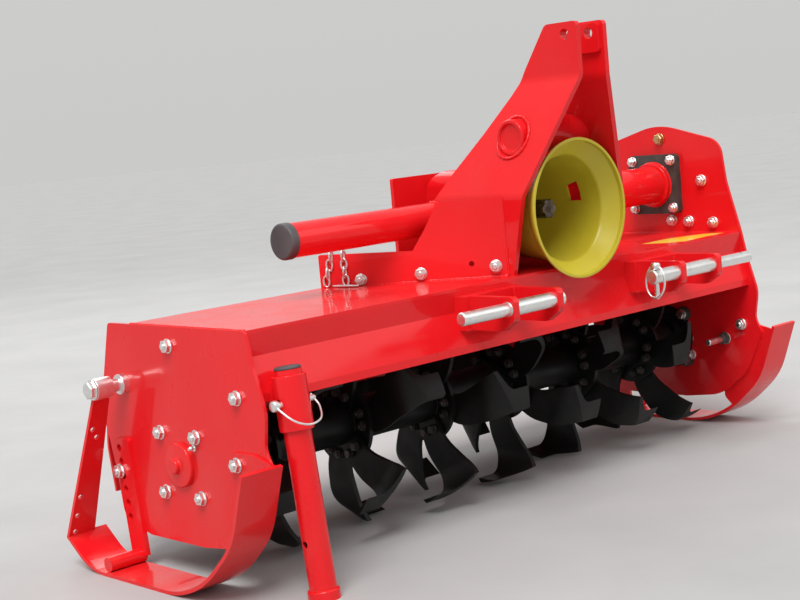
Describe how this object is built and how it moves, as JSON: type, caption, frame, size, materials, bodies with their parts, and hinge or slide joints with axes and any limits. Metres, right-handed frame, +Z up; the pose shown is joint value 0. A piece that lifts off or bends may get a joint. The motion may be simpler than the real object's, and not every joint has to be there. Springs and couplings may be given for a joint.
{
  "type": "rotary tiller",
  "caption": "Tractor-mounted rotary tiller with a side gear drive, curved tines on a cross rotor, skids, a parking stand and a hinged tailgate.",
  "frame": {"origin": "middle of the machine's box in plan, on the ground under the skid soles", "axes": "+X across the machine towards its gear case, +Y to the rear, away from the tractor, +Z up"},
  "size_m": [1.432, 0.579, 0.839],
  "materials": {
    "red_paint": "gloss",
    "zinc_plate": "zinc plated",
    "black_tine": "satin",
    "yellow_plastic": "satin",
    "dark_plastic": "matte",
    "shaft_steel": "oiled",
    "dark_paint": "matte"
  },
  "bodies": {
    "chassis": {"deck": "red_paint", "front_beam": "red_paint", "rear_panel": "red_paint", "gearbox_brace": "red_paint", "side_plate_left": "red_paint", "side_plate_right": "red_paint", "gear_case": "red_paint", "drive_flange": "dark_paint", "drive_tube": "red_paint", "gearbox": "red_paint", "stub_tube": "red_paint", "stub_cap": "dark_plastic", "pto_shield": "yellow_plastic", "mast_left": "red_paint", "mast_right": "red_paint", "mast_doubler_left": "red_paint", "mast_doubler_right": "red_paint", "mast_spacer": "red_paint", "hitch_bracket_left": "red_paint", "hitch_pin_left": "zinc_plate", "hitch_bracket_right": "red_paint", "hitch_pin_right": "zinc_plate", "skid_left": "red_paint", "skid_pin_left": "zinc_plate", "skid_strap_left": "red_paint", "skid_right": "red_paint", "skid_pin_right": "zinc_plate", "skid_strap_right": "red_paint", "stand_sleeve": "red_paint", "bearing_left": "black_tine", "bearing_right": "black_tine", "hub_cap": "red_paint", "hinge_rod": "zinc_plate"},
    "rotor": {"rotor": "black_tine"},
    "input_shaft": {"input_shaft": "shaft_steel"},
    "tailgate": {"tailgate": "red_paint"},
    "stand": {"stand_leg": "red_paint"}
  },
  "joints": [
    {"name": "rotor_spin", "type": "hinge", "parent": "chassis", "child": "rotor", "pos_m": [0, 0.0335, 0.186], "axis": [1, 0, 0], "continuous": true},
    {"name": "input_spin", "type": "hinge", "parent": "chassis", "child": "input_shaft", "pos_m": [0.105, 0.0335, 0.513], "axis": [0, 1, 0], "continuous": true},
    {"name": "tailgate_lift", "type": "hinge", "parent": "chassis", "child": "tailgate", "pos_m": [0, 0.2055, 0.362], "axis": [1, 0, 0], "range_deg": [0, 70]},
    {"name": "stand_slide", "type": "slide", "parent": "chassis", "child": "stand", "axis": [0, 0.0976, 0.9952], "range_m": [0, 0.215]}
  ],
  "couplings": [
    {"joint": "input_spin", "follows": "rotor_spin", "ratio": 2.57}
  ]
}
